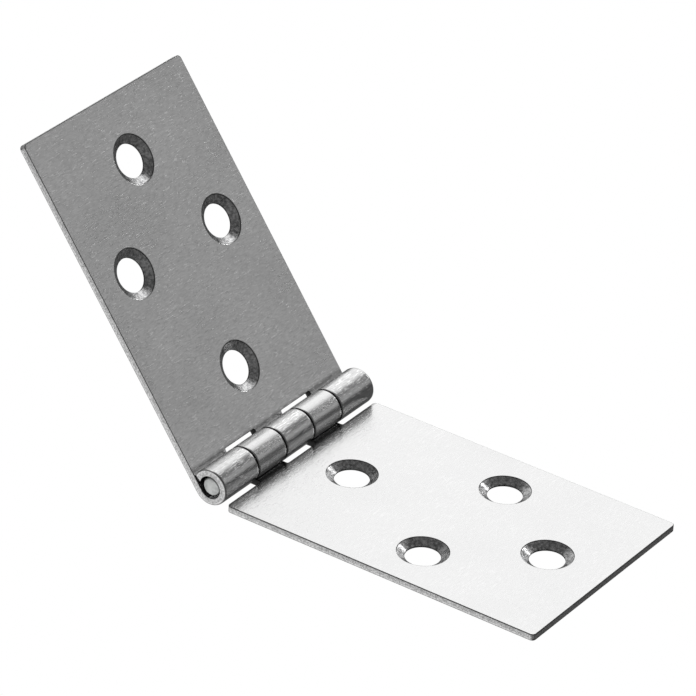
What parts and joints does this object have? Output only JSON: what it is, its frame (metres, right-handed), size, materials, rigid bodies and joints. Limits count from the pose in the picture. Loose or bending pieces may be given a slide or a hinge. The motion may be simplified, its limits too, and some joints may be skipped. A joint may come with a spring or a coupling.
{
  "type": "butt hinge",
  "caption": "Narrow butt hinge with two stamped leaves rolled around one pin and countersunk screw holes in a diamond pattern.",
  "frame": {"origin": "on the pin axis, at mid-length of the pin", "axes": "+Y along the pin axis, +X from the pin towards the tip of the flat leaf, +Z away from the flat leaf's back face"},
  "size_m": [0.0838, 0.034, 0.0424],
  "materials": {
    "flat_leaf_steel": "fine linear grain along the pin, satin",
    "raised_leaf_steel": "fine linear grain along the pin, satin",
    "pin_steel": "plain drawn wire, cropped end"
  },
  "bodies": {
    "fixed_leaf": {"two_knuckle_leaf": "flat_leaf_steel"},
    "swinging_leaf": {"three_knuckle_leaf": "raised_leaf_steel", "pin": "pin_steel"}
  },
  "joints": [
    {"name": "leaf_swing", "type": "hinge", "parent": "fixed_leaf", "child": "swinging_leaf", "pos_m": [0, 0, 0], "axis": [0, -1, 0], "range_deg": [-127, 143]}
  ]
}
